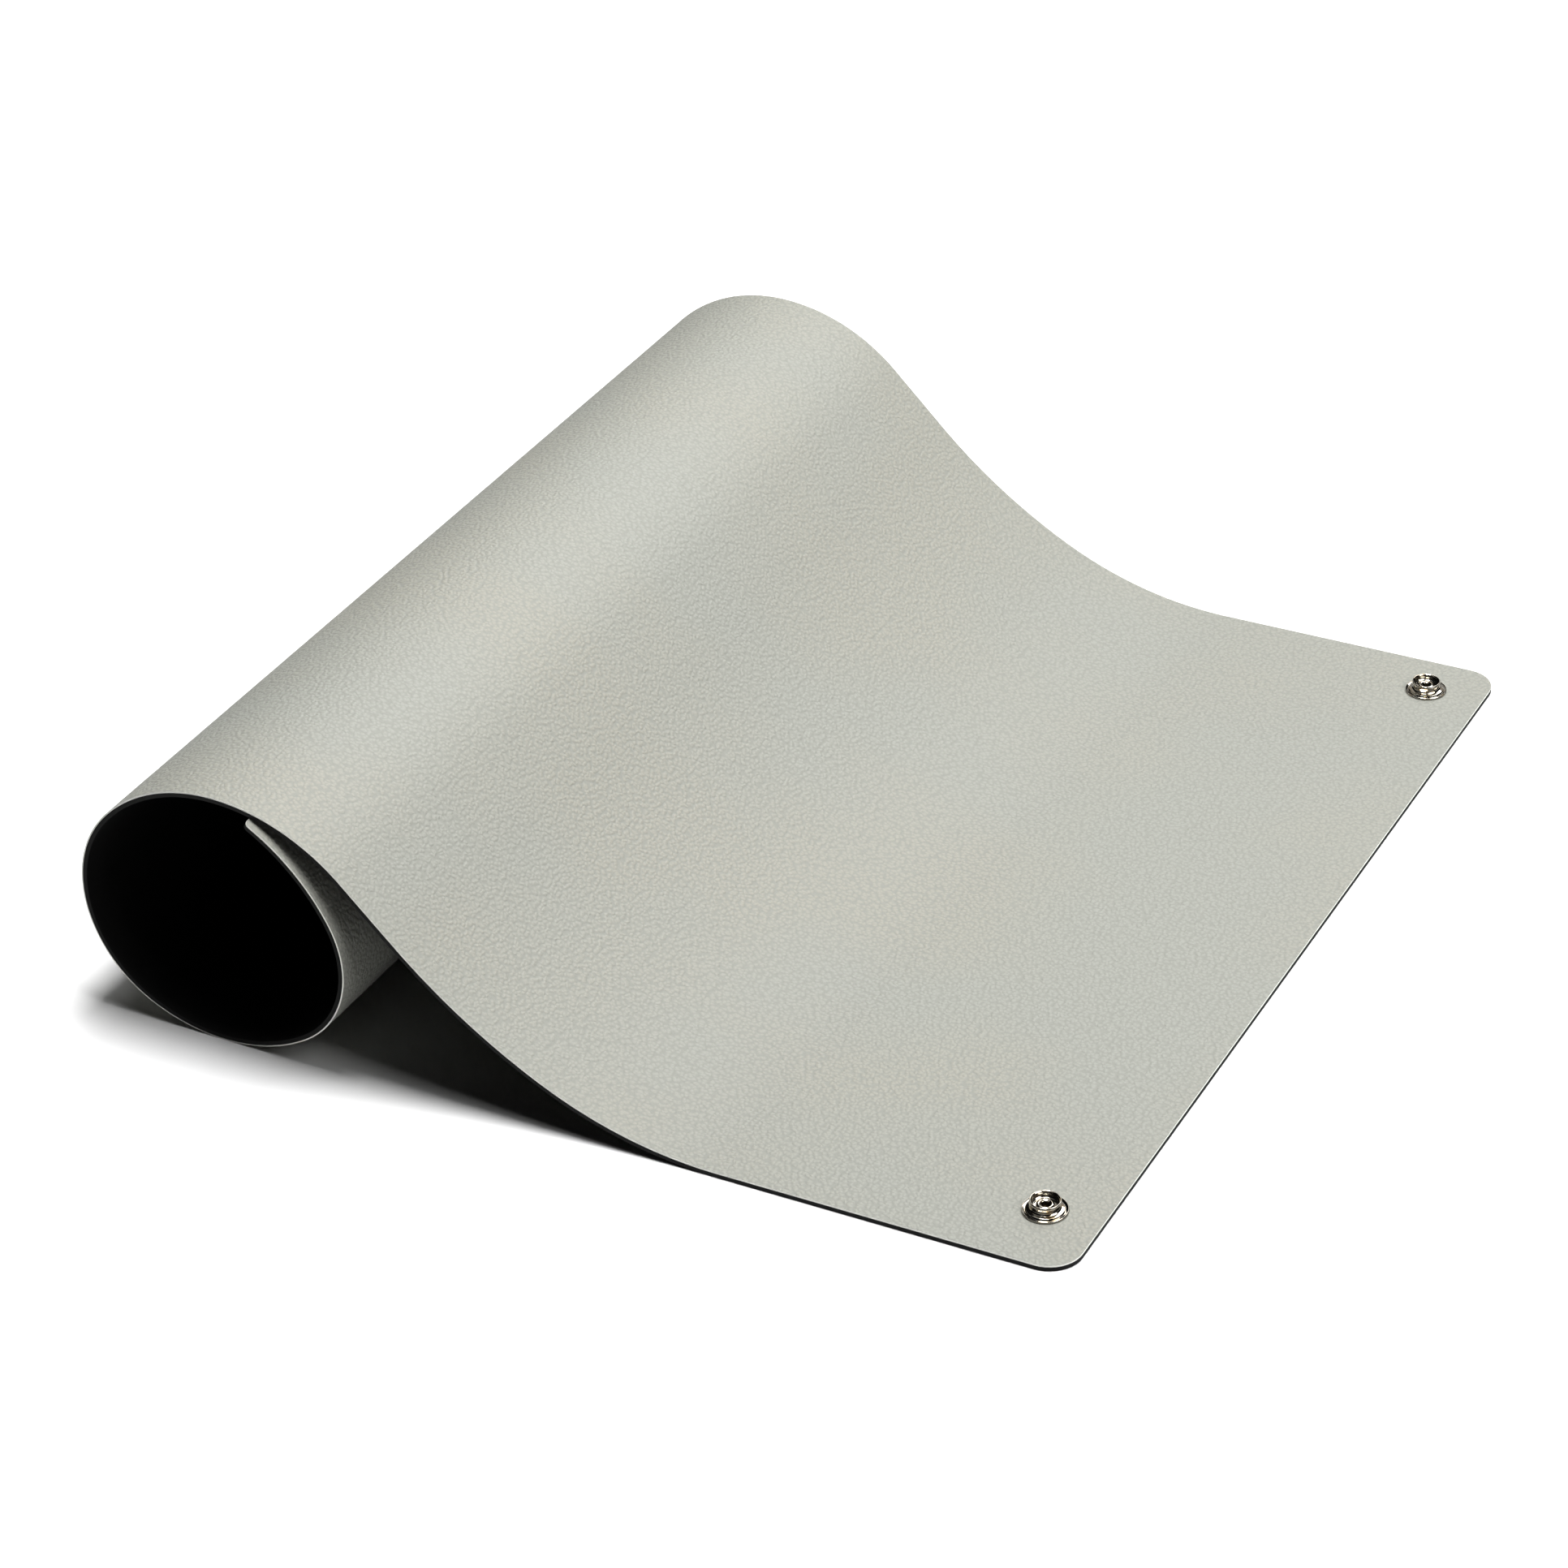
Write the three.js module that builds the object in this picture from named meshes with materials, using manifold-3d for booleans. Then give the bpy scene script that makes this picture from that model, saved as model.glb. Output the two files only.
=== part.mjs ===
// Anti-static bench mat: a two-layer sheet of rubber, flat at its free end and rolled up at the other,
// with a riveted press stud near each free corner. Millimetres, +Z up, the mat lying on z = 0.
import * as THREE from 'three';
import { mergeVertices } from 'three/addons/utils/BufferGeometryUtils.js';
import Module from 'manifold-3d';

// The sheet, as if laid out flat
const MAT_LENGTH = 600;
const MAT_WIDTH = 380;
const GREY_THICKNESS = 0.5;
const BLACK_THICKNESS = 1.5;
const CORNER_RADIUS = 11;
const INNER_CORNER_RADIUS = 2;

// How it is bent, along its near edge, from the free end: a flat stretch, then bends given by their
// radius and their turn in degrees. All radii are scaled together until they use up the sheet's length.
const FLAT_LENGTH = 117.5;
const RAMP_FOOT_RADIUS = 133;
const RAMP_FOOT_TURN = 27.6;
const RAMP_HEAD_RADIUS = 205;
const RAMP_HEAD_TURN = 17.9;
const RAMP_STRAIGHT_LENGTH = 26.5;
const CREST_FRONT_RADIUS = 65;
const CREST_FRONT_TURN = 44;
const CREST_BACK_RADIUS = 56;
const CREST_BACK_TURN = 48.5;
const OUTER_SIDE_TURN = 108;
const UNDERSIDE_RADIUS = 58.5;
const UNDERSIDE_TURN = 58;
const INNER_SIDE_RADIUS = 37.5;
const INNER_SIDE_TURN = 82.5;
const LAP_TURN = 34.5;
const LAP_CLEARANCE = 0.4;

// The roll lies slightly askew: at the far edge it starts sooner and is a little larger,
// and its turns are shifted sideways by a share of the length that they take up
const FAR_EDGE_LEAD = 11.8;
const FAR_EDGE_GROWTH = 0.0356;
const TURN_SHIFT_RATIO = 0.0095;

// Press studs, measured from the free end and from the long edge beside each
const NEAR_STUD_FROM_END = 18.8;
const NEAR_STUD_FROM_EDGE = 25.5;
const FAR_STUD_FROM_END = 20.8;
const FAR_STUD_FROM_EDGE = 19.7;
const FLANGE_DIAMETER = 14.6;
const FLANGE_RIM_HEIGHT = 0.8;
const FLANGE_STEP_DIAMETER = 12;
const STUD_METAL = 0.4;
const WAIST_DIAMETER = 9.1;
const LIP_DIAMETER = 10;
const STUD_HEIGHT = 4;
const LIP_DEPTH = 1.1;
const BOWL_FLOOR_HEIGHT = 1.9;

// The rivet that holds each stud: a cap let into the underside and a hollow post, curled over in the stud
const CAP_DIAMETER = 13.1;
const CAP_THICKNESS = 0.8;
const POST_DIAMETER = 3.8;
const POST_BORE_DIAMETER = 2.7;
const CURL_DIAMETER = 5.8;
const CURL_HEIGHT = 0.7;
const BORE_FLOOR = 1;
const FIT_CLEARANCE = 0.15;

// Fineness of the facets
const FACET_LENGTH = 4;
const CORNER_FACETS = 6;
const ROUND_FACETS = 32;
const SOLVER_STEPS = 40;

const GREY = 0xc6c6bf;
const BLACK = 0x151515;
const NICKEL = 0xc9c6c0;

const thickness = GREY_THICKNESS + BLACK_THICKNESS;
const wasm = await Module();
wasm.setup();

// Path of the middle of the sheet: out along the floor, up, and the angle of its tangent
const START = { along: 0, out: 0, up: 0, angle: 0 };

function advance(start, length, turn) {
  const middle = start.angle + turn / 2;
  const chord = turn === 0 ? length : (length * Math.sin(turn / 2)) / (turn / 2);
  return {
    along: start.along + length,
    out: start.out + chord * Math.cos(middle),
    up: start.up + chord * Math.sin(middle),
    angle: start.angle + turn,
  };
}

function bend(radius, degrees) {
  const turn = THREE.MathUtils.degToRad(degrees);
  return { length: radius * Math.abs(turn), turn };
}

function bendsWith(lapRadius) {
  const rise = [
    bend(RAMP_FOOT_RADIUS, RAMP_FOOT_TURN),
    bend(RAMP_HEAD_RADIUS, RAMP_HEAD_TURN),
    { length: RAMP_STRAIGHT_LENGTH, turn: 0 },
    bend(CREST_FRONT_RADIUS, -CREST_FRONT_TURN),
    bend(CREST_BACK_RADIUS, -CREST_BACK_TURN),
  ];
  const top = rise.reduce((place, { length, turn }) => advance(place, length, turn), START);
  // The outer side has the radius that brings the underside down to the floor
  const before = Math.cos(top.angle);
  const after = Math.cos(top.angle - THREE.MathUtils.degToRad(OUTER_SIDE_TURN));
  const outerSideRadius = (top.up - UNDERSIDE_RADIUS * (1 + after)) / (before - after);
  return [
    ...rise,
    bend(outerSideRadius, -OUTER_SIDE_TURN),
    bend(UNDERSIDE_RADIUS, -UNDERSIDE_TURN),
    bend(INNER_SIDE_RADIUS, -INNER_SIDE_TURN),
    bend(lapRadius, -LAP_TURN),
  ];
}

function pathOf(bends) {
  const drawn = bends.reduce((sum, piece) => sum + piece.length, 0);
  const scale = (MAT_LENGTH - FLAT_LENGTH) / drawn;
  let place = START;
  return bends.map((piece) => {
    const start = place;
    const length = piece.length * scale;
    place = advance(start, length, piece.turn);
    return { start, length, turn: piece.turn };
  });
}

function placeOn(path, along) {
  const piece = path.findLast(({ start }) => start.along <= along) ?? path[0];
  const part = along - piece.start.along;
  return advance(piece.start, part, (piece.turn * part) / piece.length);
}

// How far the inner end of the sheet lies below the outer turn, middle to middle
function lapDepth(path) {
  const end = placeOn(path, MAT_LENGTH - FLAT_LENGTH);
  const crestBack = path[4];
  const last = crestBack.start.along + crestBack.length;
  let nearest = Infinity;
  let depth = 0;
  for (let along = 0; along < last; along += FACET_LENGTH / 4) {
    const place = placeOn(path, along);
    const out = place.out - end.out;
    const up = place.up - end.up;
    if (Math.hypot(out, up) < nearest) {
      nearest = Math.hypot(out, up);
      depth = up * Math.cos(place.angle) - out * Math.sin(place.angle);
    }
  }
  return depth;
}

// The lap reaches as far as it can before its end meets the outer turn
function rollPath() {
  let short = 0;
  let long = INNER_SIDE_RADIUS * 4;
  for (let step = 0; step < SOLVER_STEPS; step += 1) {
    const radius = (short + long) / 2;
    const clear = lapDepth(pathOf(bendsWith(radius))) > thickness + LAP_CLEARANCE;
    if (clear) short = radius;
    else long = radius;
  }
  return pathOf(bendsWith(short));
}

const path = rollPath();

function flatUpTo(across) {
  return FLAT_LENGTH - (FAR_EDGE_LEAD * across) / MAT_WIDTH;
}

// A point of the flat sheet, carried to where it lies on the bent one, at a height above the middle
function bent(fromEnd, across, above) {
  const flat = flatUpTo(across);
  const growth = 1 + (FAR_EDGE_GROWTH * across) / MAT_WIDTH;
  if (fromEnd <= flat) return new THREE.Vector3(-fromEnd, across, thickness / 2 + above);
  const place = placeOn(path, (fromEnd - flat) / growth);
  const out = flat + place.out * growth;
  return new THREE.Vector3(
    -out + above * Math.sin(place.angle),
    across - TURN_SHIFT_RATIO * (fromEnd - out),
    thickness / 2 + place.up * growth + above * Math.cos(place.angle),
  );
}

// Columns of facets: the distance from the free end at a place across the sheet
function sheetColumns() {
  const columns = [];
  for (let i = 0; i <= CORNER_FACETS; i += 1) {
    const angle = ((Math.PI / 2) * i) / CORNER_FACETS;
    columns.push({ inset: CORNER_RADIUS * (1 - Math.sin(angle)), at: () => CORNER_RADIUS * (1 - Math.cos(angle)) });
  }
  const rolled = MAT_LENGTH - INNER_CORNER_RADIUS;
  const count = Math.ceil((rolled - FLAT_LENGTH) / FACET_LENGTH);
  for (let i = 0; i < count; i += 1) {
    columns.push({ inset: 0, at: (across) => flatUpTo(across) + ((rolled - flatUpTo(across)) * i) / count });
  }
  for (let i = CORNER_FACETS; i >= 0; i -= 1) {
    const angle = ((Math.PI / 2) * i) / CORNER_FACETS;
    columns.push({
      inset: INNER_CORNER_RADIUS * (1 - Math.sin(angle)),
      at: () => MAT_LENGTH - INNER_CORNER_RADIUS * (1 - Math.cos(angle)),
    });
  }
  return columns;
}

const columns = sheetColumns();

// A layer of the sheet between two heights above its middle, made from a box with one row for each column.
// The layer above the join is turned over, so that both have the same triangles where they meet.
function layer(low, high, turnedOver) {
  const last = columns.length - 1;
  const box = new THREE.BoxGeometry(last, 1, 1, last, 1, 1);
  const places = box.getAttribute('position');
  for (let i = 0; i < places.count; i += 1) {
    const column = columns[Math.round(places.getX(i) + last / 2)];
    const across = places.getY(i) < 0 ? column.inset : MAT_WIDTH - column.inset;
    const upper = turnedOver ? places.getZ(i) < 0 : places.getZ(i) > 0;
    const point = bent(column.at(across), across, upper ? high : low);
    places.setXYZ(i, point.x, point.y, point.z);
  }
  return turnedOver ? box : reversed(box);
}

function reversed(geometry) {
  const index = geometry.getIndex();
  for (let i = 0; i < index.count; i += 3) {
    const first = index.getX(i);
    index.setX(i, index.getX(i + 1));
    index.setX(i + 1, first);
  }
  return geometry;
}

// Solids for cutting
function solidOf(geometry) {
  const bare = geometry.clone();
  bare.deleteAttribute('normal');
  bare.deleteAttribute('uv');
  const merged = mergeVertices(bare, 1e-4);
  return new wasm.Manifold(new wasm.Mesh({
    numProp: 3,
    vertProperties: merged.getAttribute('position').array,
    triVerts: Uint32Array.from(merged.getIndex().array),
  }));
}

function geometryOf(solid) {
  const mesh = solid.getMesh();
  const geometry = new THREE.BufferGeometry();
  geometry.setAttribute('position', new THREE.BufferAttribute(mesh.vertProperties, mesh.numProp));
  geometry.setIndex(new THREE.BufferAttribute(mesh.triVerts, 1));
  geometry.computeVertexNormals();
  return geometry;
}

function disc(x, y, radius, bottom, top) {
  const cylinder = new THREE.CylinderGeometry(radius, radius, top - bottom, ROUND_FACETS);
  return cylinder.rotateX(Math.PI / 2).translate(x, y, (top + bottom) / 2);
}

function turned(profile) {
  const points = profile.map(([radius, height]) => new THREE.Vector2(radius, height));
  return new THREE.LatheGeometry([...points, points[0].clone()], ROUND_FACETS).rotateX(Math.PI / 2);
}

const studs = [
  { name: 'near', x: -NEAR_STUD_FROM_END, y: NEAR_STUD_FROM_EDGE },
  { name: 'far', x: -FAR_STUD_FROM_END, y: MAT_WIDTH - FAR_STUD_FROM_EDGE },
];

function withStudHoles(geometry) {
  let solid = solidOf(geometry);
  for (const { x, y } of studs) {
    const hole = disc(x, y, POST_DIAMETER / 2 + FIT_CLEARANCE, -thickness, 2 * thickness);
    const recess = disc(x, y, CAP_DIAMETER / 2 + FIT_CLEARANCE, -thickness, CAP_THICKNESS);
    solid = solid.subtract(solidOf(hole)).subtract(solidOf(recess));
  }
  return geometryOf(solid);
}

// Press stud, from the hole for the post outwards, up over the lip and down into the bowl
function studGeometry() {
  const hole = POST_DIAMETER / 2 + FIT_CLEARANCE;
  const rim = FLANGE_DIAMETER / 2;
  const step = FLANGE_STEP_DIAMETER / 2;
  const waist = WAIST_DIAMETER / 2;
  const lip = LIP_DIAMETER / 2;
  const lipMiddle = STUD_HEIGHT - LIP_DEPTH / 2;
  return turned([
    [hole, 0],
    [rim - STUD_METAL / 2, 0],
    [rim, STUD_METAL / 2],
    [rim, FLANGE_RIM_HEIGHT - STUD_METAL / 2],
    [rim - STUD_METAL / 2, FLANGE_RIM_HEIGHT],
    [rim - STUD_METAL, FLANGE_RIM_HEIGHT - STUD_METAL / 4],
    [step + STUD_METAL / 2, STUD_METAL],
    [step, FLANGE_RIM_HEIGHT + STUD_METAL / 2],
    [waist + STUD_METAL, FLANGE_RIM_HEIGHT + STUD_METAL],
    [waist, FLANGE_RIM_HEIGHT + 2 * STUD_METAL],
    [waist, STUD_HEIGHT - LIP_DEPTH],
    [lip, lipMiddle - LIP_DEPTH / 5],
    [lip, lipMiddle + LIP_DEPTH / 5],
    [lip - STUD_METAL / 2, STUD_HEIGHT],
    [lip - STUD_METAL, STUD_HEIGHT],
    [lip - 2 * STUD_METAL, STUD_HEIGHT - LIP_DEPTH / 4],
    [waist - STUD_METAL, STUD_HEIGHT - LIP_DEPTH],
    [waist - STUD_METAL, BOWL_FLOOR_HEIGHT + STUD_METAL],
    [waist - 2 * STUD_METAL, BOWL_FLOOR_HEIGHT],
    [hole, BOWL_FLOOR_HEIGHT],
  ]);
}

// Rivet, from the middle of the cap outwards, up the post, over the curl and down into the bore
function rivetGeometry() {
  const cap = CAP_DIAMETER / 2;
  const post = POST_DIAMETER / 2;
  const curl = CURL_DIAMETER / 2;
  const bore = POST_BORE_DIAMETER / 2;
  const seat = thickness + BOWL_FLOOR_HEIGHT;
  const points = [
    [0, 0],
    [cap - CAP_THICKNESS / 2, 0],
    [cap, CAP_THICKNESS / 2],
    [cap, CAP_THICKNESS],
    [post, CAP_THICKNESS],
    [post, seat],
    [curl, seat],
    [curl, seat + CURL_HEIGHT / 2],
    [(curl + bore) / 2, seat + CURL_HEIGHT],
    [bore, seat + CURL_HEIGHT / 2],
    [bore, BORE_FLOOR],
    [0, BORE_FLOOR],
  ];
  return turned(points);
}

function piece(name, geometry, color, roughness, metalness) {
  const mesh = new THREE.Mesh(geometry, new THREE.MeshStandardMaterial({ color, roughness, metalness }));
  mesh.name = name;
  return mesh;
}

const laid = new THREE.Group();
const join = BLACK_THICKNESS - thickness / 2;
laid.add(piece('grey_top_layer', withStudHoles(layer(join, thickness / 2, true)), GREY, 0.6, 0));
laid.add(piece('black_base_layer', withStudHoles(layer(-thickness / 2, join, false)), BLACK, 0.75, 0));
for (const { name, x, y } of studs) {
  const stud = piece(`${name}_stud`, studGeometry(), NICKEL, 0.25, 1);
  stud.position.set(x, y, thickness);
  laid.add(stud);
  const rivet = piece(`${name}_rivet`, rivetGeometry(), NICKEL, 0.25, 1);
  rivet.position.set(x, y, 0);
  laid.add(rivet);
}

// The origin is under the middle of the whole mat
const mat = new THREE.Group();
mat.add(laid);
const bounds = new THREE.Box3().setFromObject(mat);
const centre = bounds.getCenter(new THREE.Vector3());
laid.position.set(-centre.x, -centre.y, -bounds.min.z);
mat.updateMatrixWorld(true);

export default mat;
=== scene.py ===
import math

import bmesh
import bpy
from mathutils import Matrix, Vector


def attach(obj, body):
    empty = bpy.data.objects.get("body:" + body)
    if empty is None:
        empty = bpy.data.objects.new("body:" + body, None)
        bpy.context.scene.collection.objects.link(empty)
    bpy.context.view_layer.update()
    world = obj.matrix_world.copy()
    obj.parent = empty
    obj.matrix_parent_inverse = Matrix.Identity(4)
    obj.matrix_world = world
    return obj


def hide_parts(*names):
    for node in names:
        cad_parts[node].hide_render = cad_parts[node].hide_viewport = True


bl_info = {
    "name": "Anti-static bench mat",
    "version": (1, 0, 0),
    "blender": (4, 5, 0),
    "location": "3D View > Sidebar > Bench mat",
    "description": "A two-layer rubber bench mat, partly rolled up, with riveted press studs",
    "category": "Add Mesh",
}

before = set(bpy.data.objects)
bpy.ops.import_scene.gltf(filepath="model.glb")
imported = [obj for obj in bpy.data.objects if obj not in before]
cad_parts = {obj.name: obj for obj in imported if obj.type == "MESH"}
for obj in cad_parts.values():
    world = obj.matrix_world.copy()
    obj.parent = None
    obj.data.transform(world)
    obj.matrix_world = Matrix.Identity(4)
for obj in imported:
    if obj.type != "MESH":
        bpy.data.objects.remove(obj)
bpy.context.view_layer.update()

MM = 0.001

# Places and angles that differ by less than this are the same
TINY = 1e-7
# Points of a spun profile that are closer than this are joined, and faces this near a level lie in it
CLOSE = 1e-6
# Reach of a punch past both faces of the sheet
PUNCH_REACH = 10 * MM
# Faces that meet at less than this are shaded as one smooth surface
RUBBER_SMOOTHING = math.radians(35)
METAL_SMOOTHING = math.radians(50)

# The mat lies with its free end towards +X and its near edge towards -Y.
# This is where the near end of the free edge would be if the corner weren't rounded.
FREE_CORNER = Vector((0.172987, -0.188476, 0.0))


def linear(hex_colour):
    """An sRGB hex colour as linear red, green and blue."""
    parts = [int(hex_colour[i : i + 2], 16) / 255 for i in (1, 3, 5)]
    return tuple(c / 12.92 if c <= 0.04045 else ((c + 0.055) / 1.055) ** 2.4 for c in parts)


def colour_property(name, description, default):
    return bpy.props.FloatVectorProperty(
        name=name,
        description=description,
        size=3,
        min=0.0,
        max=1.0,
        subtype="COLOR",
        default=linear(default),
    )


def length_property(name, description, default):
    return bpy.props.FloatProperty(
        name=name, description=description, unit="LENGTH", min=0.0, precision=5, default=default
    )


def angle_property(name, description, default):
    return bpy.props.FloatProperty(
        name=name, description=description, unit="ROTATION", default=math.radians(default)
    )


def number_property(name, description, default):
    return bpy.props.FloatProperty(name=name, description=description, default=default)


class MatSizes(bpy.types.PropertyGroup):
    """The sheet as it is when laid flat, and how it is rolled."""

    length: length_property("Length", "Length of the flat sheet", 600 * MM)
    width: length_property("Width", "Width of the flat sheet", 380 * MM)
    grey_thickness: length_property("Grey thickness", "Thickness of the grey top layer", 0.5 * MM)
    black_thickness: length_property("Black thickness", "Thickness of the black base layer", 1.5 * MM)
    corner_radius: length_property("Corner radius", "Radius of the two corners at the free end", 11 * MM)
    inner_corner_radius: length_property("Inner corner radius", "Radius of the corners inside the roll", 2 * MM)
    edge_softness: length_property("Edge softness", "How far the cut edges are worn round", 0.14 * MM)
    flat_length: length_property("Flat length", "Stretch of the near edge that lies flat", 117.5 * MM)
    bend_lengths: bpy.props.FloatVectorProperty(
        name="Bend lengths",
        description="Length along the sheet of each bend after the flat stretch",
        size=9,
        unit="LENGTH",
        default=[
            x * MM for x in (63.3546, 63.3321, 26.2051, 49.3609, 46.8756, 80.0020, 58.5600, 53.3952, 41.4143)
        ],
    )
    bend_turns: bpy.props.FloatVectorProperty(
        name="Bend turns",
        description="Turn of each bend, upwards first and then over and down into the roll",
        size=9,
        unit="ROTATION",
        default=[
            math.radians(x) for x in (27.6, 17.9, 0.0, -44.0, -48.5, -108.0, -58.0, -82.5, -34.5)
        ],
    )
    far_lead: length_property("Far edge lead", "How much sooner the far edge starts to rise", 11.8 * MM)
    far_growth: number_property("Far edge growth", "How much larger the roll is at the far edge", 0.0356)
    turn_shift: number_property("Turn shift", "Sideways shift of the turns, as a share of their length", 0.0095)
    rim_band: length_property("Rim band", "Width of the band of mesh next to the cut edges", 0.7 * MM)
    column_spacing: length_property("Column spacing", "Spacing of the mesh along the bends", 1.8 * MM)
    row_spacing: length_property("Row spacing", "Spacing of the mesh across the sheet", 20 * MM)


class StudSizes(bpy.types.PropertyGroup):
    """The press studs and the rivets that hold them."""

    near_from_end: length_property("Near stud from end", "Near stud's centre from the free end", 18.8 * MM)
    near_from_edge: length_property("Near stud from edge", "Near stud's centre from the near edge", 25.5 * MM)
    far_from_end: length_property("Far stud from end", "Far stud's centre from the free end", 20.8 * MM)
    far_from_edge: length_property("Far stud from edge", "Far stud's centre from the far edge", 19.7 * MM)
    flange: length_property("Flange diameter", "Diameter of the flange on the mat", 14.6 * MM)
    flange_rim: length_property("Flange rim height", "Height of the flange's raised rim", 0.8 * MM)
    step: length_property("Step diameter", "Diameter of the raised ring inside the rim", 12 * MM)
    metal: length_property("Metal thickness", "Thickness of the pressed metal", 0.4 * MM)
    waist: length_property("Waist diameter", "Diameter of the neck under the lip", 9.1 * MM)
    lip: length_property("Lip diameter", "Diameter that the lead's socket snaps over", 10 * MM)
    height: length_property("Stud height", "Height of the lip over the mat", 4 * MM)
    lip_depth: length_property("Lip depth", "Height of the rolled lip itself", 1.1 * MM)
    bowl_floor: length_property("Bowl floor", "Height of the bowl's floor over the mat", 1.9 * MM)
    cap: length_property("Rivet cap diameter", "Diameter of the cap let into the underside", 13.1 * MM)
    cap_thickness: length_property("Rivet cap thickness", "Thickness of that cap", 0.8 * MM)
    post: length_property("Rivet post diameter", "Diameter of the hollow post", 3.8 * MM)
    bore: length_property("Rivet bore diameter", "Bore of the hollow post", 2.7 * MM)
    curl: length_property("Curl diameter", "Diameter of the post's curled end", 5.8 * MM)
    curl_height: length_property("Curl height", "Height of the curled end", 0.7 * MM)
    bore_floor: length_property("Bore floor", "Height of the bore's floor over the underside", 1 * MM)
    clearance: length_property("Clearance", "Gap round the post and the cap", 0.15 * MM)
    rounding: length_property("Rounding", "How far each bend of the pressed metal is rounded", 0.12 * MM)
    steps: bpy.props.IntProperty(name="Steps", description="Faces round a stud or a rivet", min=8, default=96)


class FinishColours(bpy.types.PropertyGroup):
    """Colours of the rubber and of the plated metal."""

    grey: colour_property("Grey", "Raised pebbles of the grey rubber", "#999A94")
    grey_warm: colour_property("Warm grey", "Warmer patches of the grey rubber", "#9B9A92")
    # Painted shade: the groove colour darkens the grooves to stand for the shade that falls in them
    grey_groove_shade: colour_property("Groove grey", "Grooves of the leather grain", "#92938D")
    # Painted highlight: the cut grey edge is coloured far paler than the skin to stand for light catching it
    grey_cut_highlight: colour_property("Cut grey", "Cut edge of the grey rubber, without its skin", "#E2E2DD")
    black: colour_property("Black", "Black base rubber", "#090909")
    black_bloom: colour_property("Black bloom", "Faint dusty bloom on the black rubber", "#131312")
    # Painted highlight: the cut black edge is coloured a little lighter to stand for light catching it
    black_cut_highlight: colour_property("Cut black", "Cut edge of the black rubber", "#0E0E0D")
    nickel: colour_property("Nickel", "Bright nickel plating", "#B6B2AA")
    nickel_warm: colour_property("Warm nickel", "Plating where the brass shows through", "#B5A68E")


class StageSettings(bpy.types.PropertyGroup):
    """Floor, lights and camera."""

    floor: colour_property("Floor", "Pale floor", "#F7F7F7")
    floor_size: length_property("Floor size", "From the middle of the floor to its edges", 6.0)
    glow_start: length_property("Glow start", "Where the paper begins to glow, from the middle", 0.8)
    glow_end: length_property("Glow end", "Where it glows white, from the middle", 2.4)
    air_light: number_property("Air light", "Faint light from all round", 0.01)
    contrast: number_property("Contrast", "Gamma of the picture: under 1 its shadows are deeper", 0.8)
    camera_place: bpy.props.FloatVectorProperty(
        name="Camera",
        description="Where the camera stands",
        size=3,
        unit="LENGTH",
        default=(0.60606, -1.17322, 0.84798),
    )
    camera_heading: angle_property("Heading", "Turn of the view from +Y towards -X", 27.975)
    camera_pitch: angle_property("Pitch", "Tilt of the view below level", 32.048)
    camera_roll: angle_property("Roll", "Turn of the camera about its view", 1.819)
    camera_lens: number_property("Lens", "Focal length in millimetres", 105.22)


# ---- Materials ----


def add_node(tree, kind, settings=None, links=None):
    """Adds a node, sets its properties and sockets, and links its inputs to other nodes' sockets."""
    node = tree.nodes.new(kind)
    for key, value in (settings or {}).items():
        if isinstance(key, int) or key in node.inputs:
            node.inputs[key].default_value = value
        else:
            setattr(node, key, value)
    for key, socket in (links or {}).items():
        tree.links.new(socket, node.inputs[key])
    return node


def new_material(name):
    material = bpy.data.materials.new(name)
    material.use_nodes = True
    material.node_tree.nodes.clear()
    return material, material.node_tree


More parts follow.
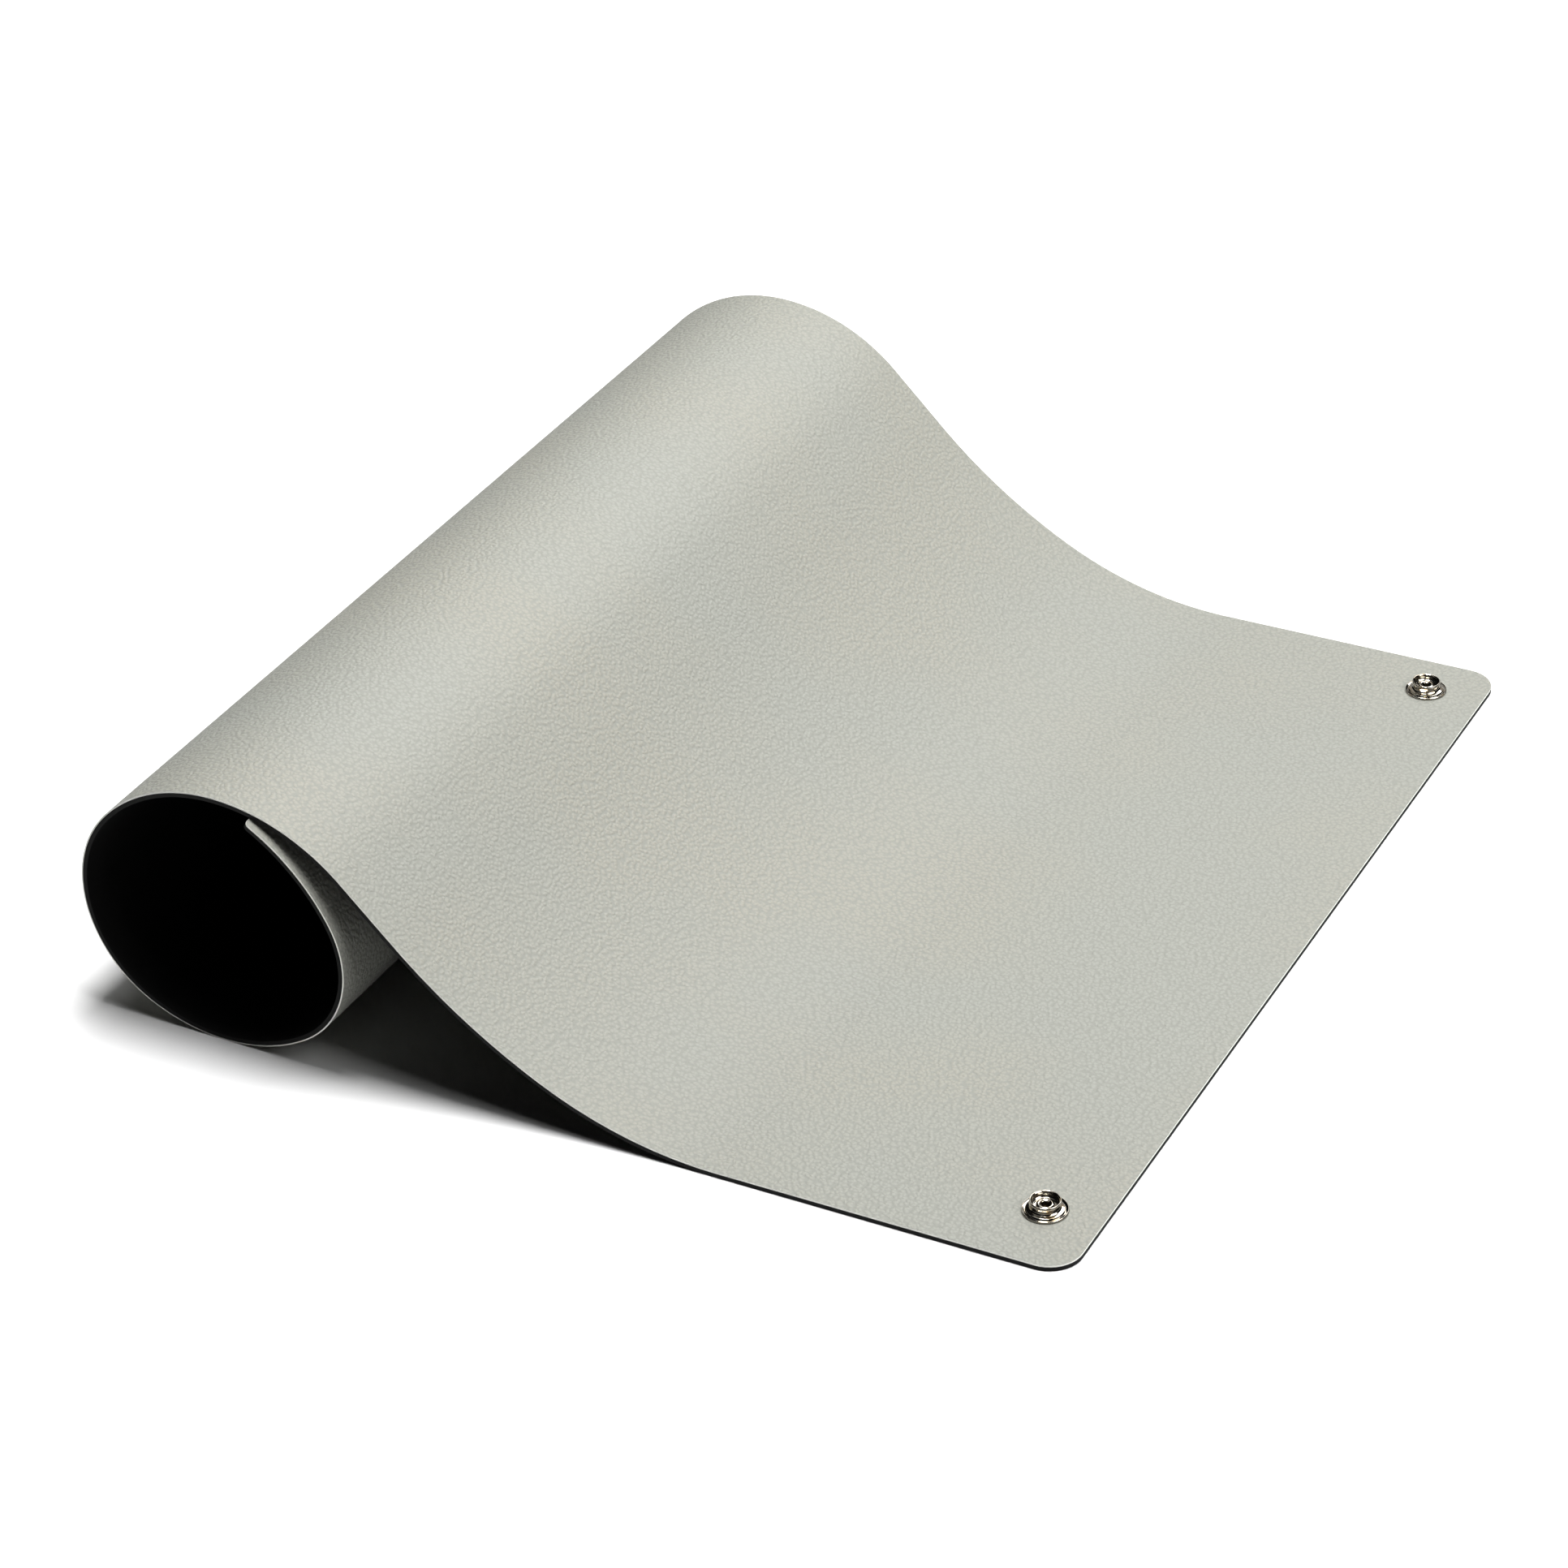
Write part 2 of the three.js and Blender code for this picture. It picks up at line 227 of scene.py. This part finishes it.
def embossed_grey_rubber(colours):
    """Grey static-dissipative rubber, pressed between rollers with a leather grain: a satin skin of soft
    pebbles about 1.5 mm wide, parted by shallow wandering grooves, so that it looks flat and even
    from above and finely wrinkled where the light grazes it."""
    material, tree = new_material("embossed_grey_rubber")
    flat = add_node(tree, "ShaderNodeUVMap", {"uv_map": "flat_sheet"}).outputs["UV"]
    # The UV map is in metres, so a scale of 1 / size gives one cell for each pebble
    wander = add_node(
        tree,
        "ShaderNodeTexNoise",
        {"noise_dimensions": "2D", "Scale": 1 / (2.2 * MM), "Detail": 2.0},
        {"Vector": flat},
    )
    centred = add_node(
        tree,
        "ShaderNodeVectorMath",
        {"operation": "SUBTRACT", 1: (0.5, 0.5, 0.5)},
        {0: wander.outputs["Color"]},
    )
    strayed = add_node(
        tree,
        "ShaderNodeVectorMath",
        {"operation": "MULTIPLY_ADD", 1: (1.2 * MM, 1.2 * MM, 0.0)},
        {0: centred.outputs["Vector"], 2: flat},
    ).outputs["Vector"]
    pebbles = add_node(
        tree,
        "ShaderNodeTexVoronoi",
        {"voronoi_dimensions": "2D", "feature": "SMOOTH_F1", "Scale": 1 / (1.5 * MM), "Smoothness": 0.25},
        {"Vector": strayed},
    )
    wrinkles = add_node(
        tree,
        "ShaderNodeTexNoise",
        {"noise_dimensions": "2D", "Scale": 1 / (1.7 * MM), "Detail": 3.0, "Roughness": 0.55},
        {"Vector": strayed},
    )
    # High in the middle of a pebble and low in the grooves
    pebble_height = add_node(
        tree,
        "ShaderNodeMapRange",
        {"interpolation_type": "SMOOTHSTEP", "From Max": 0.75, "To Min": 1.0, "To Max": 0.0},
        {"Value": pebbles.outputs["Distance"]},
    ).outputs["Result"]
    relief = add_node(
        tree,
        "ShaderNodeMath",
        {"operation": "MULTIPLY_ADD", 1: 0.8},
        {0: wrinkles.outputs["Fac"], 2: pebble_height},
    ).outputs["Value"]
    bump = add_node(tree, "ShaderNodeBump", {"Strength": 1.0, "Distance": 0.16 * MM}, {"Height": relief})
    # Slow change of tone over the sheet, in patches about 90 mm across
    patches = add_node(
        tree,
        "ShaderNodeTexNoise",
        {"noise_dimensions": "2D", "Scale": 1 / (90 * MM), "Detail": 2.0},
        {"Vector": flat},
    )
    patchiness = add_node(
        tree,
        "ShaderNodeMapRange",
        {"From Min": 0.35, "From Max": 0.65},
        {"Value": patches.outputs["Fac"]},
    )
    tone = add_node(tree, "ShaderNodeMix", {"data_type": "RGBA"}, {"Factor": patchiness.outputs["Result"]})
    tone.inputs[6].default_value = (*colours.grey, 1)
    tone.inputs[7].default_value = (*colours.grey_warm, 1)
    # Painted shade: where the relief is low the skin is darkened towards the groove colour, standing in for
    # shade in the grooves
    grooves = add_node(
        tree, "ShaderNodeMapRange", {"From Min": 0.3, "From Max": 1.3}, {"Value": relief}
    ).outputs["Result"]
    skin = add_node(tree, "ShaderNodeMix", {"data_type": "RGBA"}, {"Factor": grooves})
    skin.inputs[6].default_value = (*colours.grey_groove_shade, 1)
    tree.links.new(tone.outputs[2], skin.inputs[7])
    sheen = add_node(
        tree, "ShaderNodeMapRange", {"From Max": 1.6, "To Min": 0.75, "To Max": 0.5}, {"Value": relief}
    ).outputs["Result"]
    surface = add_node(
        tree,
        "ShaderNodeBsdfPrincipled",
        {"IOR": 1.5, "Specular IOR Level": 0.4},
        {"Base Color": skin.outputs[2], "Roughness": sheen, "Normal": bump.outputs["Normal"]},
    )
    add_node(tree, "ShaderNodeOutputMaterial", None, {"Surface": surface.outputs["BSDF"]})
    return material


def cut_edge(name, colour):
    """Rubber sheared by a knife, with faint drag lines; its colour is set paler than the skin as painted
    highlight, standing for light catching the cut.
    """
    material, tree = new_material(name)
    place = add_node(tree, "ShaderNodeTexCoord").outputs["Object"]
    drag = add_node(tree, "ShaderNodeTexNoise", {"Scale": 1 / (0.5 * MM), "Detail": 2.0}, {"Vector": place})
    bump = add_node(
        tree,
        "ShaderNodeBump",
        {"Strength": 0.5, "Distance": 0.03 * MM},
        {"Height": drag.outputs["Fac"]},
    )
    surface = add_node(
        tree,
        "ShaderNodeBsdfPrincipled",
        {"Base Color": (*colour, 1), "IOR": 1.5, "Specular IOR Level": 0.3, "Roughness": 0.7},
        {"Normal": bump.outputs["Normal"]},
    )
    add_node(tree, "ShaderNodeOutputMaterial", None, {"Surface": surface.outputs["BSDF"]})
    return material


def cut_grey_edge_highlight(colours):
    """The thin pale line round the mat, where the grey layer was cut; its paleness is painted highlight."""
    return cut_edge("cut_grey_edge_highlight", colours.grey_cut_highlight)


def cut_black_edge_highlight(colours):
    """The black band under that line, a little lighter than the matt underside as painted highlight."""
    return cut_edge("cut_black_edge_highlight", colours.black_cut_highlight)


def matt_black_rubber(colours):
    """Black conductive rubber, loaded with carbon and calendered against cloth: nearly black,
    matt, with a fine even tooth that only shows close to."""
    material, tree = new_material("matt_black_rubber")
    flat = add_node(tree, "ShaderNodeUVMap", {"uv_map": "flat_sheet"}).outputs["UV"]
    tooth = add_node(
        tree,
        "ShaderNodeTexNoise",
        {"noise_dimensions": "2D", "Scale": 1 / (0.6 * MM), "Detail": 2.0},
        {"Vector": flat},
    )
    dust = add_node(
        tree,
        "ShaderNodeTexNoise",
        {"noise_dimensions": "2D", "Scale": 1 / (40 * MM), "Detail": 3.0},
        {"Vector": flat},
    )
    bloom = add_node(
        tree,
        "ShaderNodeMapRange",
        {"From Min": 0.45, "From Max": 0.8},
        {"Value": dust.outputs["Fac"]},
    )
    skin = add_node(tree, "ShaderNodeMix", {"data_type": "RGBA"}, {"Factor": bloom.outputs["Result"]})
    skin.inputs[6].default_value = (*colours.black, 1)
    skin.inputs[7].default_value = (*colours.black_bloom, 1)
    bump = add_node(
        tree,
        "ShaderNodeBump",
        {"Strength": 0.5, "Distance": 0.05 * MM},
        {"Height": tooth.outputs["Fac"]},
    )
    surface = add_node(
        tree,
        "ShaderNodeBsdfPrincipled",
        {"IOR": 1.5, "Specular IOR Level": 0.25, "Roughness": 0.75},
        {"Base Color": skin.outputs[2], "Normal": bump.outputs["Normal"]},
    )
    add_node(tree, "ShaderNodeOutputMaterial", None, {"Surface": surface.outputs["BSDF"]})
    return material


def bright_nickel_plate(colours):
    """Pressed brass with a bright nickel plate, barrel-polished: mirror-like with a very slight
    waviness from the press, and a warmer tone where the plate is thin."""
    material, tree = new_material("bright_nickel_plate")
    place = add_node(tree, "ShaderNodeTexCoord").outputs["Object"]
    thin = add_node(tree, "ShaderNodeTexNoise", {"Scale": 1 / (3 * MM), "Detail": 2.0}, {"Vector": place})
    waves = add_node(tree, "ShaderNodeTexNoise", {"Scale": 1 / (2.5 * MM), "Detail": 0.0}, {"Vector": place})
    thinness = add_node(
        tree,
        "ShaderNodeMapRange",
        {"From Min": 0.5, "From Max": 0.75},
        {"Value": thin.outputs["Fac"]},
    )
    plate = add_node(tree, "ShaderNodeMix", {"data_type": "RGBA"}, {"Factor": thinness.outputs["Result"]})
    plate.inputs[6].default_value = (*colours.nickel, 1)
    plate.inputs[7].default_value = (*colours.nickel_warm, 1)
    bump = add_node(
        tree,
        "ShaderNodeBump",
        {"Strength": 0.5, "Distance": 0.01 * MM},
        {"Height": waves.outputs["Fac"]},
    )
    surface = add_node(
        tree,
        "ShaderNodeBsdfPrincipled",
        {"Metallic": 1.0, "Roughness": 0.1},
        {"Base Color": plate.outputs[2], "Normal": bump.outputs["Normal"]},
    )
    add_node(tree, "ShaderNodeOutputMaterial", None, {"Surface": surface.outputs["BSDF"]})
    return material


# ---- Shapes ----


def new_piece(name, bm, materials, nodes, smooth_angle):
    """A finished piece from a bmesh: shaded smooth up to an angle, riding on the mat's body."""
    mesh = bpy.data.meshes.new(name)
    bm.to_mesh(mesh)
    bm.free()
    for material in materials:
        mesh.materials.append(material)
    mesh.shade_smooth()
    mesh.set_sharp_from_angle(angle=smooth_angle)
    piece = bpy.data.objects.new(name, mesh)
    bpy.context.scene.collection.objects.link(piece)
    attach(piece, "root")
    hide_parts(*nodes)
    return piece


def all_of(bm):
    return bm.verts[:] + bm.edges[:] + bm.faces[:]


def path_place(sizes, along):
    """How far out and up the middle of the near edge is, and its slope, at a length along its bends."""
    out = up = slope = 0.0
    for i, (length, turn) in enumerate(zip(sizes.bend_lengths, sizes.bend_turns)):
        last = i == len(sizes.bend_lengths) - 1
        part = along if last else min(along, length)
        swept = turn * part / length
        chord = part * (math.sin(swept / 2) / (swept / 2) if abs(swept) > TINY else 1.0)
        out += chord * math.cos(slope + swept / 2)
        up += chord * math.sin(slope + swept / 2)
        slope += swept
        along -= part
        if along <= 0:
            break
    return out, up, slope


def bent(sizes, from_end, across, height):
    """Where a point of the flat sheet lies on the rolled one."""
    share = across / sizes.width
    flat = sizes.flat_length - sizes.far_lead * share
    growth = 1 + sizes.far_growth * share
    if from_end <= flat:
        return FREE_CORNER + Vector((-from_end, across, height))
    middle = (sizes.grey_thickness + sizes.black_thickness) / 2
    out, up, slope = path_place(sizes, (from_end - flat) / growth)
    out = flat + out * growth
    above = height - middle
    return FREE_CORNER + Vector(
        (
            -out + above * math.sin(slope),
            across - sizes.turn_shift * (from_end - out),
            middle + up * growth + above * math.cos(slope),
        )
    )


def stud_centres(sizes, studs):
    """Both studs on the flat sheet: name, distance from the free end and distance across."""
    return [
        ("near", studs.near_from_end, studs.near_from_edge),
        ("far", studs.far_from_end, sizes.width - studs.far_from_edge),
    ]


def cut_round(bm, x, y, radius, bottom, top):
    """Cuts a round hole or recess into the flat slab with a Boolean."""
    slab = bpy.data.objects.new("slab", bpy.data.meshes.new("slab"))
    bm.to_mesh(slab.data)
    punch_bm = bmesh.new()
    bmesh.ops.create_cone(
        punch_bm, cap_ends=True, cap_tris=False, segments=64, radius1=radius, radius2=radius, depth=top - bottom
    )
    bmesh.ops.translate(punch_bm, verts=punch_bm.verts, vec=(x, y, (top + bottom) / 2))
    punch = bpy.data.objects.new("punch", bpy.data.meshes.new("punch"))
    punch_bm.to_mesh(punch.data)
    punch_bm.free()
    for o in (slab, punch):
        bpy.context.scene.collection.objects.link(o)
    cut = slab.modifiers.new("cut", "BOOLEAN")
    cut.operation = "DIFFERENCE"
    cut.solver = "EXACT"
    cut.object = punch
    graph = bpy.context.evaluated_depsgraph_get()
    result = bpy.data.meshes.new_from_object(slab.evaluated_get(graph))
    bm.clear()
    bm.from_mesh(result)
    for o in (slab, punch):
        used = o.data
        bpy.data.objects.remove(o)
        bpy.data.meshes.remove(used)
    bpy.data.meshes.remove(result)


def sheet_layer(sizes, studs, bottom, top, skin_up):
    """One layer of the sheet: a flat slab with rounded corners and softened edges on its skin side,
    cut for the rivets, divided into columns and rows, and then carried to its rolled shape."""
    bm = bmesh.new()
    bmesh.ops.create_grid(bm, x_segments=1, y_segments=1, size=0.5)
    bmesh.ops.scale(bm, verts=bm.verts, vec=(sizes.length, sizes.width, 1))
    bmesh.ops.translate(bm, verts=bm.verts, vec=(sizes.length / 2, sizes.width / 2, bottom))
    free_corners = [v for v in bm.verts if v.co.x < sizes.length / 2]
    inner_corners = [v for v in bm.verts if v.co.x > sizes.length / 2]
    for corners, radius in ((free_corners, sizes.corner_radius), (inner_corners, sizes.inner_corner_radius)):
        bmesh.ops.bevel(
            bm, geom=corners, offset=radius, segments=10, profile=0.5, affect="VERTICES", material=-1
        )
    raised = bmesh.ops.extrude_face_region(bm, geom=bm.faces[:])
    upper = [v for v in raised["geom"] if isinstance(v, bmesh.types.BMVert)]
    bmesh.ops.translate(bm, verts=upper, vec=(0, 0, top - bottom))
    bmesh.ops.recalc_face_normals(bm, faces=bm.faces)
    skin = top if skin_up else bottom
    rim = [e for e in bm.edges if all(abs(v.co.z - skin) < TINY for v in e.verts)]
    bmesh.ops.bevel(
        bm, geom=rim, offset=sizes.edge_softness, segments=3, profile=0.5, affect="EDGES", material=-1
    )
    for level in (top, bottom):
        at_level = [f for f in bm.faces if abs(f.calc_center_median().z - level) < CLOSE]
        broad = max(at_level, key=lambda f: f.calc_area())
        bmesh.ops.inset_region(bm, faces=[broad], thickness=sizes.rim_band)
    for _, x, y in stud_centres(sizes, studs):
        cut_round(bm, x, y, studs.post / 2 + studs.clearance, -PUNCH_REACH, PUNCH_REACH)
        if bottom < studs.cap_thickness:
            cut_round(bm, x, y, studs.cap / 2 + studs.clearance, -PUNCH_REACH, studs.cap_thickness)
    bm.normal_update()
    for face in bm.faces:
        # Sideways faces, the cut edges, get the second material, whose paler colour is painted highlight
        face.material_index = 1 if abs(face.normal.z) < 0.8 else 0
    rolled = sizes.length - sizes.flat_length + sizes.far_lead
    columns = int(rolled / sizes.column_spacing)
    for i in range(columns):
        place = sizes.length - rolled * (i + 0.5) / columns
        bmesh.ops.bisect_plane(bm, geom=all_of(bm), dist=TINY, plane_co=(place, 0, 0), plane_no=(1, 0, 0))
    rows = round(sizes.width / sizes.row_spacing)
    for i in range(1, rows):
        place = sizes.width * i / rows
        bmesh.ops.bisect_plane(bm, geom=all_of(bm), dist=TINY, plane_co=(0, place, 0), plane_no=(0, 1, 0))
    flat_map = bm.loops.layers.uv.new("flat_sheet")
    for face in bm.faces:
        for loop in face.loops:
            loop[flat_map].uv = loop.vert.co.xy
    for v in bm.verts:
        v.co = bent(sizes, v.co.x, v.co.y, v.co.z)
    # The sheet is drawn from the free end towards -X, which turns it inside out
    bmesh.ops.reverse_faces(bm, faces=bm.faces)
    return bm


def turned(studs, profile, centre):
    """A closed profile of radius and height in metres, its corners rounded, spun about a stud's centre."""
    bm = bmesh.new()
    points = [bm.verts.new((radius, 0, height)) for radius, height in profile]
    on_axis = profile[0][0] == 0 and profile[-1][0] == 0
    for a, b in zip(points, points[1:] if on_axis else points[1:] + points[:1]):
        bm.edges.new((a, b))
    corners = points[1:-1] if on_axis else points
    bmesh.ops.bevel(
        bm,
        geom=corners,
        offset=studs.rounding,
        segments=3,
        profile=0.5,
        affect="VERTICES",
        material=-1,
        clamp_overlap=True,
    )
    bmesh.ops.spin(
        bm,
        geom=bm.verts[:] + bm.edges[:],
        cent=(0, 0, 0),
        axis=(0, 0, 1),
        angle=math.tau,
        steps=studs.steps,
        use_merge=True,
    )
    bmesh.ops.remove_doubles(bm, verts=bm.verts, dist=CLOSE)
    bmesh.ops.recalc_face_normals(bm, faces=bm.faces)
    bmesh.ops.translate(bm, verts=bm.verts, vec=centre)
    return bm


def stud_profile(studs):
    """Section of a press stud from its post hole out along the flange, up over the lip and into the bowl."""
    hole = studs.post / 2 + studs.clearance
    rim, step, waist, lip = studs.flange / 2, studs.step / 2, studs.waist / 2, studs.lip / 2
    metal, top, depth = studs.metal, studs.height, studs.lip_depth
    middle = top - depth / 2
    return [
        (hole, 0),
        (rim - metal / 2, 0),
        (rim, metal / 2),
        (rim, studs.flange_rim - metal / 2),
        (rim - metal / 2, studs.flange_rim),
        (rim - metal, studs.flange_rim - metal / 4),
        (step + metal / 2, metal),
        (step, studs.flange_rim + metal / 2),
        (waist + metal, studs.flange_rim + metal),
        (waist, studs.flange_rim + 2 * metal),
        (waist, top - depth),
        (lip, middle - depth / 5),
        (lip, middle + depth / 5),
        (lip - metal / 2, top),
        (lip - metal, top),
        (lip - 2 * metal, top - depth / 4),
        (waist - metal, studs.bowl_floor + metal),
        (waist - 2 * metal, studs.bowl_floor),
        (hole, studs.bowl_floor),
    ]


def rivet_profile(sizes, studs):
    """Section of a rivet from the middle of its cap out, up the post, over the curl and down the bore."""
    cap, post, curl, bore = studs.cap / 2, studs.post / 2, studs.curl / 2, studs.bore / 2
    seat = sizes.grey_thickness + sizes.black_thickness + studs.bowl_floor
    return [
        (0, 0),
        (cap - studs.cap_thickness / 2, 0),
        (cap, studs.cap_thickness / 2),
        (cap, studs.cap_thickness),
        (post, studs.cap_thickness),
        (post, seat),
        (curl, seat),
        (curl, seat + studs.curl_height / 2),
        ((curl + bore) / 2, seat + studs.curl_height),
        (bore, seat + studs.curl_height / 2),
        (bore, studs.bore_floor),
        (0, studs.bore_floor),
    ]


# ---- Lights and camera ----

# Name, place in metres, side in metres and power in watts
SOFTBOXES = (
    ("overhead_softbox", (0.0, 0.0, 1.6), 0.5, 26.5),
    ("back_softbox", (0.0, 1.3, 1.5), 1.2, 20.3),
    ("right_softbox", (1.4, 0.0, 1.5), 1.2, 27.5),
)

# White cards that only show as reflections, which gives the plated studs their pale rings
CARDS = (
    ("overhead_card", (0.1, -0.1, 1.8), 2.2, 9.0),
    ("back_card", (-0.6, 1.9, 1.3), 1.8, 6.0),
)


def softbox(name, place, size, power):
    """A square soft light that faces the middle of the floor."""
    light = bpy.data.lights.new(name, "AREA")
    light.shape = "SQUARE"
    light.size = size
    light.energy = power
    lamp = bpy.data.objects.new(name, light)
    to_middle = Vector((0.0, 0.0, 0.0)) - Vector(place)
    turn = to_middle.to_track_quat("-Z", "Y").to_matrix().to_4x4()
    lamp.matrix_world = Matrix.Translation(place) @ turn
    bpy.context.scene.collection.objects.link(lamp)
    return lamp


def photo_camera(scene, stage):
    """A camera turned by its heading, its pitch below level and its roll."""
    camera = bpy.data.cameras.new("camera")
    camera.lens = stage.camera_lens
    camera.sensor_width = 36
    camera.clip_end = 50
    rig = bpy.data.objects.new("camera", camera)
    turn = (
        Matrix.Rotation(stage.camera_heading, 4, "Z")
        @ Matrix.Rotation(math.pi / 2 - stage.camera_pitch, 4, "X")
        @ Matrix.Rotation(-stage.camera_roll, 4, "Z")
    )
    rig.matrix_world = Matrix.Translation(stage.camera_place) @ turn
    scene.collection.objects.link(rig)
    return rig


# ---- Operators ----


class GreyLayer(bpy.types.Operator):
    """Adds the grey top layer with its leather grain"""

    bl_idname = "bench_mat.grey_layer"
    bl_label = "Grey top layer"

    def execute(self, context):
        scene = context.scene
        sizes, studs = scene.mat_sizes, scene.stud_sizes
        top = sizes.black_thickness + sizes.grey_thickness
        bm = sheet_layer(sizes, studs, sizes.black_thickness, top, True)
        materials = [embossed_grey_rubber(scene.finish_colours), cut_grey_edge_highlight(scene.finish_colours)]
        new_piece("grey_layer", bm, materials, ["grey_top_layer"], RUBBER_SMOOTHING)
        return {"FINISHED"}


class BlackLayer(bpy.types.Operator):
    """Adds the black base layer"""

    bl_idname = "bench_mat.black_layer"
    bl_label = "Black base layer"

    def execute(self, context):
        scene = context.scene
        sizes, studs = scene.mat_sizes, scene.stud_sizes
        bm = sheet_layer(sizes, studs, 0.0, sizes.black_thickness, False)
        materials = [matt_black_rubber(scene.finish_colours), cut_black_edge_highlight(scene.finish_colours)]
        new_piece("black_layer", bm, materials, ["black_base_layer"], RUBBER_SMOOTHING)
        return {"FINISHED"}


class PressStuds(bpy.types.Operator):
    """Adds both press studs with their rivets"""

    bl_idname = "bench_mat.press_studs"
    bl_label = "Press studs and rivets"

    def execute(self, context):
        scene = context.scene
        sizes, studs = scene.mat_sizes, scene.stud_sizes
        thickness = sizes.grey_thickness + sizes.black_thickness
        plate = [bright_nickel_plate(scene.finish_colours)]
        for name, x, y in stud_centres(sizes, studs):
            foot = bent(sizes, x, y, 0.0)
            stud = turned(studs, stud_profile(studs), foot + Vector((0, 0, thickness)))
            new_piece(f"{name}_press_stud", stud, plate, [f"{name}_stud"], METAL_SMOOTHING)
            rivet = turned(studs, rivet_profile(sizes, studs), foot)
            new_piece(f"{name}_hollow_rivet", rivet, plate, [f"{name}_rivet"], METAL_SMOOTHING)
        return {"FINISHED"}


class Stage(bpy.types.Operator):
    """Adds the floor, the lights and the camera"""

    bl_idname = "bench_mat.stage"
    bl_label = "Floor, lights and camera"

    def execute(self, context):
        scene = context.scene
        stage = scene.stage_settings
        bm = bmesh.new()
        bmesh.ops.create_grid(bm, x_segments=1, y_segments=1, size=stage.floor_size)
        mesh = bpy.data.meshes.new("floor")
        bm.to_mesh(mesh)
        bm.free()
        floor = bpy.data.objects.new("floor", mesh)
        scene.collection.objects.link(floor)
        # The light falls off towards the horizon, so the paper glows there and stays pale
        paper, tree = new_material("white_paper")
        place = add_node(tree, "ShaderNodeTexCoord").outputs["Object"]
        distance = add_node(tree, "ShaderNodeVectorMath", {"operation": "LENGTH"}, {0: place}).outputs["Value"]
        glow = add_node(
            tree,
            "ShaderNodeMapRange",
            {
                "interpolation_type": "SMOOTHSTEP",
                "From Min": stage.glow_start,
                "From Max": stage.glow_end,
            },
            {"Value": distance},
        )
        surface = add_node(
            tree,
            "ShaderNodeBsdfPrincipled",
            {
                "Base Color": (*stage.floor, 1),
                "Roughness": 0.9,
                "Specular IOR Level": 0.1,
                "Emission Color": (1.0, 1.0, 1.0, 1.0),
            },
            {"Emission Strength": glow.outputs["Result"]},
        )
        add_node(tree, "ShaderNodeOutputMaterial", None, {"Surface": surface.outputs["BSDF"]})
        mesh.materials.append(paper)

        world = bpy.data.worlds.new("studio")
        world.use_nodes = True
        tree = world.node_tree
        tree.nodes.clear()
        # The air gives next to no light, but it looks white beyond the floor
        seen = add_node(tree, "ShaderNodeLightPath").outputs["Is Camera Ray"]
        strength = add_node(
            tree, "ShaderNodeMapRange", {"To Min": stage.air_light, "To Max": 1.0}, {"Value": seen}
        ).outputs["Result"]
        air = add_node(tree, "ShaderNodeBackground", {"Color": (1, 1, 1, 1)}, {"Strength": strength})
        add_node(tree, "ShaderNodeOutputWorld", None, {"Surface": air.outputs["Background"]})
        scene.world = world

        for name, place, size, power in SOFTBOXES:
            softbox(name, place, size, power)
        for name, place, size, power in CARDS:
            softbox(name, place, size, power).visible_diffuse = False

        scene.view_settings.view_transform = "Standard"
        scene.view_settings.gamma = stage.contrast
        scene.camera = photo_camera(scene, stage)
        return {"FINISHED"}


class BenchMatPanel(bpy.types.Panel):
    """Lists the pieces of the mat"""

    bl_idname = "VIEW3D_PT_bench_mat"
    bl_label = "Bench mat"
    bl_space_type = "VIEW_3D"
    bl_region_type = "UI"
    bl_category = "Bench mat"

    def draw(self, context):
        for maker in MAKERS:
            self.layout.operator(maker.bl_idname)
        for name in GROUPS:
            group = getattr(context.scene, name)
            box = self.layout.box()
            for key in group.bl_rna.properties.keys():
                if key not in ("rna_type", "name"):
                    box.prop(group, key)


GROUPS = {
    "mat_sizes": MatSizes,
    "stud_sizes": StudSizes,
    "finish_colours": FinishColours,
    "stage_settings": StageSettings,
}
MAKERS = [GreyLayer, BlackLayer, PressStuds, Stage]


def register():
    for cls in (*GROUPS.values(), *MAKERS, BenchMatPanel):
        bpy.utils.register_class(cls)
    for key, group in GROUPS.items():
        setattr(bpy.types.Scene, key, bpy.props.PointerProperty(type=group))


def unregister():
    for key in GROUPS:
        delattr(bpy.types.Scene, key)
    for cls in reversed((*GROUPS.values(), *MAKERS, BenchMatPanel)):
        bpy.utils.unregister_class(cls)


def main():
    register()
    bpy.ops.bench_mat.grey_layer()
    bpy.ops.bench_mat.black_layer()
    bpy.ops.bench_mat.press_studs()
    bpy.ops.bench_mat.stage()


if __name__ == "__main__":
    main()
